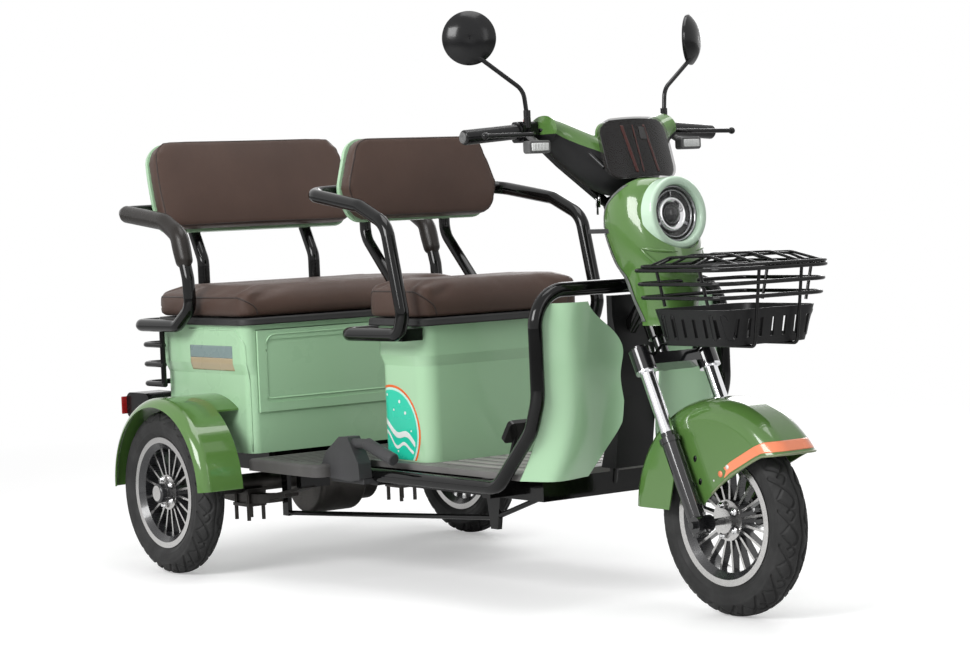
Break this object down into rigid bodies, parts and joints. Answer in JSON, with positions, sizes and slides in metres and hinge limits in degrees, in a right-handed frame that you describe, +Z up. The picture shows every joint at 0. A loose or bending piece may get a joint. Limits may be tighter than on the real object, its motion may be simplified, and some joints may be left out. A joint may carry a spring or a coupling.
{
  "type": "electric passenger tricycle",
  "caption": "Three-wheeled electric runabout with a driver seat, a rear bench over a storage box, bar steering and a front basket.",
  "frame": {"origin": "on the ground under the middle of the vehicle's length and width", "axes": "+X forward, +Y to the left, +Z up"},
  "size_m": [2.179, 1.0378, 1.3169],
  "materials": {
    "mint_paint": "gloss light green enamel",
    "mint_plastic": "gloss light green moulding",
    "green_plastic": "gloss leaf green moulding",
    "pale_ring": "gloss pale mint",
    "black_steel": "gloss black enamel",
    "black_plastic": "satin black moulding",
    "step_plastic": "grained dark grey moulding",
    "seat_cover": "matt brown synthetic leather",
    "arm_pad": "soft dark brown moulding",
    "tyre_rubber": "matt rubber",
    "cast_alloy": "machined spokes and lip",
    "fork_steel": "polished stanchions and black legs",
    "axle_iron": "dark cast and painted iron",
    "battery_case": "plain black case",
    "smoked_visor": "smoked",
    "lamp_glass": "clear lens over chrome",
    "lamp_red": "red lens in black housing",
    "signal_lens": "pale lens"
  },
  "bodies": {
    "chassis": {"main_frame": "black_steel", "leg_guard": "black_steel", "leg_shields": "mint_plastic", "column_cover": "black_plastic", "front_floorboard": "step_plastic", "rear_step": "step_plastic", "hand_brake": "step_plastic", "brake_pedal": "black_steel", "front_seat_box": "mint_plastic", "battery": "battery_case", "front_backrest_pad": "seat_cover", "front_backrest_shell": "mint_plastic", "front_arm_frame": "black_steel", "rear_box": "mint_paint", "rear_backrest_pad": "seat_cover", "rear_backrest_shell": "mint_plastic", "rear_back_frame": "black_steel", "rear_arm_right": "black_steel", "rear_arm_left": "black_steel", "rear_arm_pads": "arm_pad", "tail_lamps": "lamp_red", "rear_fenders": "green_plastic", "rear_axle": "axle_iron", "leaf_springs": "axle_iron"},
    "steering": {"fork": "fork_steel", "handlebar": "black_steel", "grips": "black_plastic", "bar_controls": "black_plastic", "mirrors": "black_plastic", "turn_signals": "signal_lens", "display_visor": "smoked_visor", "bar_cover_lower": "black_plastic", "bar_cover_upper": "green_plastic", "head_cowl": "green_plastic", "headlight_bezel": "pale_ring", "headlight_lamp": "lamp_glass", "basket_wire": "black_steel", "basket_tray": "black_plastic", "front_fender": "green_plastic", "brake_cables": "black_plastic"},
    "front_wheel": {"front_tyre": "tyre_rubber", "front_rim": "cast_alloy"},
    "rear_wheel_right": {"rear_tyre_right": "tyre_rubber", "rear_rim_right": "cast_alloy"},
    "rear_wheel_left": {"rear_tyre_left": "tyre_rubber", "rear_rim_left": "cast_alloy"},
    "box_door": {"rear_box_door": "mint_paint"},
    "front_seat": {"front_seat_cushion": "seat_cover"},
    "rear_seat": {"rear_seat_cushion": "seat_cover"},
    "basket_top": {"basket_lid": "black_steel"}
  },
  "joints": [
    {"name": "steering_turn", "type": "hinge", "parent": "chassis", "child": "steering", "pos_m": [0.68249, 0, 0.535], "axis": [-0.4274, 0, 0.9041], "range_deg": [-35, 35]},
    {"name": "front_wheel_spin", "type": "hinge", "parent": "steering", "child": "front_wheel", "pos_m": [0.88158, 0, 0.206], "axis": [0, 1, 0], "continuous": true},
    {"name": "rear_wheel_right_spin", "type": "hinge", "parent": "chassis", "child": "rear_wheel_right", "pos_m": [-0.70042, -0.458, 0.206], "axis": [0, 1, 0], "continuous": true},
    {"name": "rear_wheel_left_spin", "type": "hinge", "parent": "chassis", "child": "rear_wheel_left", "pos_m": [-0.70042, 0.458, 0.206], "axis": [0, 1, 0], "continuous": true},
    {"name": "box_door_hinge", "type": "hinge", "parent": "chassis", "child": "box_door", "pos_m": [-0.50341, 0, 0.4003], "axis": [0, 1, 0], "range_deg": [0, 95]},
    {"name": "front_seat_hinge", "type": "hinge", "parent": "chassis", "child": "front_seat", "pos_m": [0.09959, 0, 0.621], "axis": [0, 1, 0], "range_deg": [0, 75]},
    {"name": "rear_seat_hinge", "type": "hinge", "parent": "chassis", "child": "rear_seat", "pos_m": [-0.50142, 0, 0.621], "axis": [0, 1, 0], "range_deg": [0, 70]},
    {"name": "basket_lid_hinge", "type": "hinge", "parent": "steering", "child": "basket_top", "pos_m": [0.77949, 0, 0.7518], "axis": [0, -1, 0], "range_deg": [0, 70]}
  ]
}
